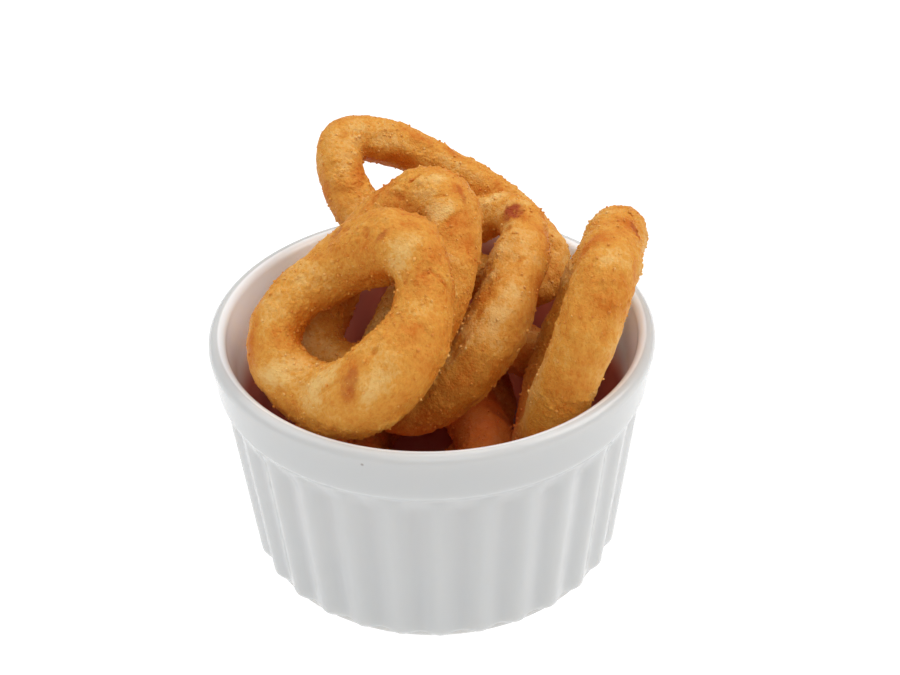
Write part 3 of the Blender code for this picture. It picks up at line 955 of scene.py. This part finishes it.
class ONIONRINGS_OT_rings(bpy.types.Operator):
    """Crumbed and fried rings, each with its own lumps and browning, and loose crumbs"""

    bl_idname = "onion_rings.rings"
    bl_label = "Onion rings"

    def execute(self, context):
        settings = context.scene.onion_rings.crust
        dice = np.random.default_rng(SPOT_SEED)
        spots = []
        normals = []
        browning_and_shade = []
        for number, name in enumerate(RINGS):
            points, normal, quads, tones = ring_shape(name, RING_SEEDS * (number + 1), settings)
            mesh = make_mesh("fried_" + name, points, (quads,), tones)
            piece = add_piece(mesh, crust_material(name + "_fried", settings))
            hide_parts(name)
            chosen = dice.choice(len(points), settings.loose // len(RINGS), replace=False)
            spots.append(points[chosen])
            normals.append(normal[chosen])
            # toast of the crust and its painted deep shade, at each crumb's spot
            browning_and_shade.append(np.stack([tones["toast"][chosen], tones["deep"][chosen]], axis=1))
        places = [np.concatenate(part) for part in (spots, normals, browning_and_shade)]
        points, faces, tones = loose_crumbs(*places, CRUMB_SEED)
        mesh = make_mesh("loose_crumbs", points, (faces,), tones)
        piece = add_piece(mesh, crumb_material(settings))
        return {"FINISHED"}


def add_light(name, power, at, size, colour):
    """Square area light at a place, aimed at the heap."""
    light = bpy.data.lights.new(name, "AREA")
    light.size = size
    light.energy = power
    light.color = colour
    lamp = bpy.data.objects.new(name, light)
    bpy.context.scene.collection.objects.link(lamp)
    lamp.location = at
    away = lamp.location - Vector(LIGHT_TARGET)
    lamp.rotation_euler = away.to_track_quat("Z", "Y").to_euler()


class ONIONRINGS_OT_stage(bpy.types.Operator):
    """Pale floor, soft lights and the camera at the photograph's angle"""

    bl_idname = "onion_rings.stage"
    bl_label = "Stage"

    def execute(self, context):
        settings = context.scene.onion_rings.stage
        scene = context.scene
        signs = np.array([(-1.0, -1.0, 0.0), (1.0, -1.0, 0.0), (1.0, 1.0, 0.0), (-1.0, 1.0, 0.0)])
        mesh = make_mesh("floor", FLOOR_HALF * signs / MM, (np.array([[0, 1, 2, 3]]),))
        floor = bpy.data.objects.new("floor", mesh)
        scene.collection.objects.link(floor)
        paint = Paint("pale_floor")
        paint.shade({
            "Base Color": (*settings.floor, 1.0),
            "Roughness": 0.8,
            "Specular IOR Level": 0.2,
            "Emission Color": WHITE,
            "Emission Strength": settings.glow,
        })
        mesh.materials.append(paint.material)
        world = bpy.data.worlds.new("studio")
        world.use_nodes = True
        sky = world.node_tree.nodes["Background"]
        sky.inputs["Color"].default_value = WHITE
        sky.inputs["Strength"].default_value = settings.sky
        scene.world = world
        for name, key, at, size, colour in LIGHTS:
            add_light(name, getattr(settings, key), at, size, colour)
        scene.view_settings.view_transform = "Standard"
        lens = bpy.data.cameras.new("camera")
        lens.lens = CAMERA_LENS
        lens.sensor_width = CAMERA_SENSOR
        lens.clip_start = 0.01
        camera = bpy.data.objects.new("camera", lens)
        scene.collection.objects.link(camera)
        camera.location = [value * MM for value in CAMERA_AT]
        camera.rotation_euler = np.radians(CAMERA_TURN)
        scene.camera = camera
        return {"FINISHED"}


class ONIONRINGS_PT_panel(bpy.types.Panel):
    """Lists the settings and the steps"""

    bl_idname = "ONIONRINGS_PT_panel"
    bl_label = "Onion rings"
    bl_space_type = "VIEW_3D"
    bl_region_type = "UI"
    bl_category = "Onion rings"

    def draw(self, context):
        settings = context.scene.onion_rings
        for group in (settings.crust, settings.glaze, settings.stage):
            box = self.layout.box()
            for key in group.__annotations__:
                box.prop(group, key)
        for step in STEPS:
            self.layout.operator(step.bl_idname)


STEPS = (ONIONRINGS_OT_ramekin, ONIONRINGS_OT_rings, ONIONRINGS_OT_stage)
CLASSES = (
    CrustSettings, GlazeSettings, StageSettings, OnionRingSettings, *STEPS, ONIONRINGS_PT_panel,
)


def register():
    for item in CLASSES:
        bpy.utils.register_class(item)
    bpy.types.Scene.onion_rings = bpy.props.PointerProperty(type=OnionRingSettings)


def unregister():
    del bpy.types.Scene.onion_rings
    for item in reversed(CLASSES):
        bpy.utils.unregister_class(item)


def main():
    register()
    bpy.ops.onion_rings.ramekin()
    bpy.ops.onion_rings.rings()
    bpy.ops.onion_rings.stage()


if __name__ == "__main__":
    main()
